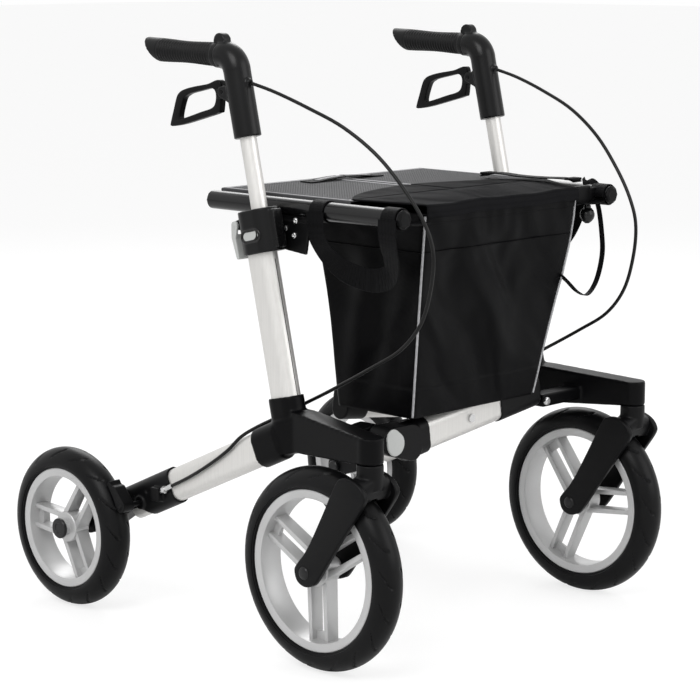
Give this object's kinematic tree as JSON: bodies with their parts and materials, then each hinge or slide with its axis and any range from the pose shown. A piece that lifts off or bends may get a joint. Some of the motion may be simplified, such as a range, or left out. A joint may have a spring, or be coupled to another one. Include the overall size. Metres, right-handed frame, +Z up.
{
  "type": "all terrain rollator",
  "caption": "Folding all-terrain rollator: side frames on a scissor cross brace, swivelling front casters, braked rear wheels, telescopic handles, split sling seat and carry bag.",
  "frame": {"origin": "middle of the overall box, at floor level under the wheels", "axes": "+X forward in the walking direction, +Y to the user's left, +Z up"},
  "size_m": [0.7515, 0.6708, 0.8467],
  "materials": {
    "silver_tube": "satin silver tube",
    "black_moulding": "satin black",
    "black_tube": "glossy black",
    "grey_moulding": "light grey moulding",
    "silver_rim": "silver-grey satin",
    "tyre": "matt black, sparse tread",
    "grip_rubber": "fine ribs",
    "cable_sheath": "smooth black sheath",
    "steel": "bright zinc",
    "dark_cap": "black domed caps",
    "seat_cloth": "woven grey sling",
    "strap_web": "black webbing, pale stripe",
    "bag_cloth": "black nylon, grey piping"
  },
  "bodies": {
    "right_frame": {"right_casting": "black_moulding", "right_upright": "silver_tube", "right_stay": "silver_tube", "right_rear_bracket": "black_moulding", "right_rear_axle": "steel", "right_clamp": "black_moulding", "right_seat_rail": "black_tube", "right_seat_bracket": "black_moulding", "right_screws": "steel", "right_brake_cable": "cable_sheath", "right_cable_adjuster": "steel", "bag": "bag_cloth"},
    "right_handle": {"right_handle_tube": "silver_tube", "right_brake_housing": "black_moulding", "right_grip": "grip_rubber"},
    "right_clamp_lever": {"right_clamp_lever": "grey_moulding"},
    "right_brake_lever": {"right_brake_lever": "black_moulding"},
    "right_brake_arm": {"right_brake_arm": "black_moulding"},
    "right_caster": {"right_fork": "black_moulding", "right_fork_stem": "steel", "right_front_axle": "dark_cap"},
    "right_front_wheel": {"right_front_tyre": "tyre", "right_front_rim": "silver_rim"},
    "right_rear_wheel": {"right_rear_tyre": "tyre", "right_rear_rim": "silver_rim"},
    "right_seat": {"right_seat_panel": "seat_cloth", "right_pull_strap": "strap_web"},
    "left_frame": {"left_casting": "black_moulding", "left_upright": "silver_tube", "left_stay": "silver_tube", "left_rear_bracket": "black_moulding", "left_rear_axle": "steel", "left_clamp": "black_moulding", "left_seat_rail": "black_tube", "left_seat_bracket": "black_moulding", "left_screws": "steel", "left_brake_cable": "cable_sheath", "left_cable_adjuster": "steel"},
    "left_handle": {"left_handle_tube": "silver_tube", "left_brake_housing": "black_moulding", "left_grip": "grip_rubber"},
    "left_clamp_lever": {"left_clamp_lever": "grey_moulding"},
    "left_brake_lever": {"left_brake_lever": "black_moulding"},
    "left_brake_arm": {"left_brake_arm": "black_moulding"},
    "left_caster": {"left_fork": "black_moulding", "left_fork_stem": "steel", "left_front_axle": "dark_cap"},
    "left_front_wheel": {"left_front_tyre": "tyre", "left_front_rim": "silver_rim"},
    "left_rear_wheel": {"left_rear_tyre": "tyre", "left_rear_rim": "silver_rim"},
    "left_seat": {"left_seat_panel": "seat_cloth", "left_pull_strap": "strap_web"},
    "bar_front": {"right_cross_bar": "silver_tube", "right_cross_collar": "black_moulding", "right_cross_pin": "grey_moulding", "centre_pin": "steel"},
    "bar_rear": {"left_cross_bar": "silver_tube", "left_cross_collar": "black_moulding", "left_cross_pin": "grey_moulding"}
  },
  "joints": [
    {"name": "fold", "type": "hinge", "parent": "right_frame", "child": "bar_front", "pos_m": [0.2395, -0.162, 0.298], "axis": [1, 0, 0], "range_deg": [0, 62], "deforming": ["bag"]},
    {"name": "cross_centre", "type": "hinge", "parent": "bar_front", "child": "bar_rear", "pos_m": [0.1565, 0, 0.30762], "axis": [1, 0, 0], "range_deg": [-124.5, 0]},
    {"name": "left_hinge", "type": "hinge", "parent": "bar_rear", "child": "left_frame", "pos_m": [0.0735, 0.162, 0.298], "axis": [1, 0, 0], "range_deg": [0, 62.5]},
    {"name": "right_handle_slide", "type": "slide", "parent": "right_frame", "child": "right_handle", "axis": [-0.225, 0, 0.9744], "range_m": [-0.06, 0.14], "deforming": ["right_brake_cable"]},
    {"name": "right_clamp_lever_hinge", "type": "hinge", "parent": "right_frame", "child": "right_clamp_lever", "pos_m": [0.05566, -0.254, 0.58644], "axis": [0, 1, 0], "range_deg": [0, 100]},
    {"name": "right_brake_lever_hinge", "type": "hinge", "parent": "right_handle", "child": "right_brake_lever", "pos_m": [0.02888, -0.254, 0.767], "axis": [0, 1, 0], "range_deg": [0, 14], "stiffness_Nm_per_rad": 1, "springref_deg": -6.88},
    {"name": "right_brake_arm_hinge", "type": "hinge", "parent": "right_frame", "child": "right_brake_arm", "pos_m": [-0.1365, -0.308, 0.168], "axis": [0, -1, 0], "range_deg": [0, 4]},
    {"name": "right_caster_swivel", "type": "hinge", "parent": "right_frame", "child": "right_caster", "pos_m": [0.3245, -0.28, 0.298], "axis": [0, 0, 1], "continuous": true},
    {"name": "right_front_wheel_spin", "type": "hinge", "parent": "right_caster", "child": "right_front_wheel", "pos_m": [0.2355, -0.28, 0.14], "axis": [0, 1, 0], "continuous": true},
    {"name": "right_rear_wheel_spin", "type": "hinge", "parent": "right_frame", "child": "right_rear_wheel", "pos_m": [-0.2575, -0.308, 0.118], "axis": [0, 1, 0], "continuous": true},
    {"name": "right_seat_hinge", "type": "hinge", "parent": "right_frame", "child": "right_seat", "pos_m": [0.0915, -0.218, 0.612], "axis": [1, 0, 0], "range_deg": [0, 53]},
    {"name": "left_handle_slide", "type": "slide", "parent": "left_frame", "child": "left_handle", "axis": [-0.225, 0, 0.9744], "range_m": [-0.06, 0.14], "deforming": ["left_brake_cable"]},
    {"name": "left_clamp_lever_hinge", "type": "hinge", "parent": "left_frame", "child": "left_clamp_lever", "pos_m": [0.05566, 0.254, 0.58644], "axis": [0, 1, 0], "range_deg": [0, 100]},
    {"name": "left_brake_lever_hinge", "type": "hinge", "parent": "left_handle", "child": "left_brake_lever", "pos_m": [0.02888, 0.254, 0.767], "axis": [0, 1, 0], "range_deg": [0, 14], "stiffness_Nm_per_rad": 1, "springref_deg": -6.88},
    {"name": "left_brake_arm_hinge", "type": "hinge", "parent": "left_frame", "child": "left_brake_arm", "pos_m": [-0.1365, 0.308, 0.168], "axis": [0, -1, 0], "range_deg": [0, 4]},
    {"name": "left_caster_swivel", "type": "hinge", "parent": "left_frame", "child": "left_caster", "pos_m": [0.3245, 0.28, 0.298], "axis": [0, 0, 1], "continuous": true},
    {"name": "left_front_wheel_spin", "type": "hinge", "parent": "left_caster", "child": "left_front_wheel", "pos_m": [0.2355, 0.28, 0.14], "axis": [0, 1, 0], "continuous": true},
    {"name": "left_rear_wheel_spin", "type": "hinge", "parent": "left_frame", "child": "left_rear_wheel", "pos_m": [-0.2575, 0.308, 0.118], "axis": [0, 1, 0], "continuous": true},
    {"name": "left_seat_hinge", "type": "hinge", "parent": "left_frame", "child": "left_seat", "pos_m": [0.0915, 0.218, 0.612], "axis": [-1, 0, 0], "range_deg": [0, 53]}
  ],
  "couplings": [
    {"joint": "cross_centre", "follows": "fold", "ratio": -2},
    {"joint": "left_hinge", "follows": "fold", "ratio": 1},
    {"joint": "right_seat_hinge", "follows": "fold", "ratio": 0.85},
    {"joint": "left_seat_hinge", "follows": "fold", "ratio": 0.85},
    {"joint": "right_brake_arm_hinge", "follows": "right_brake_lever_hinge", "ratio": 0.26},
    {"joint": "left_brake_arm_hinge", "follows": "left_brake_lever_hinge", "ratio": 0.26}
  ]
}
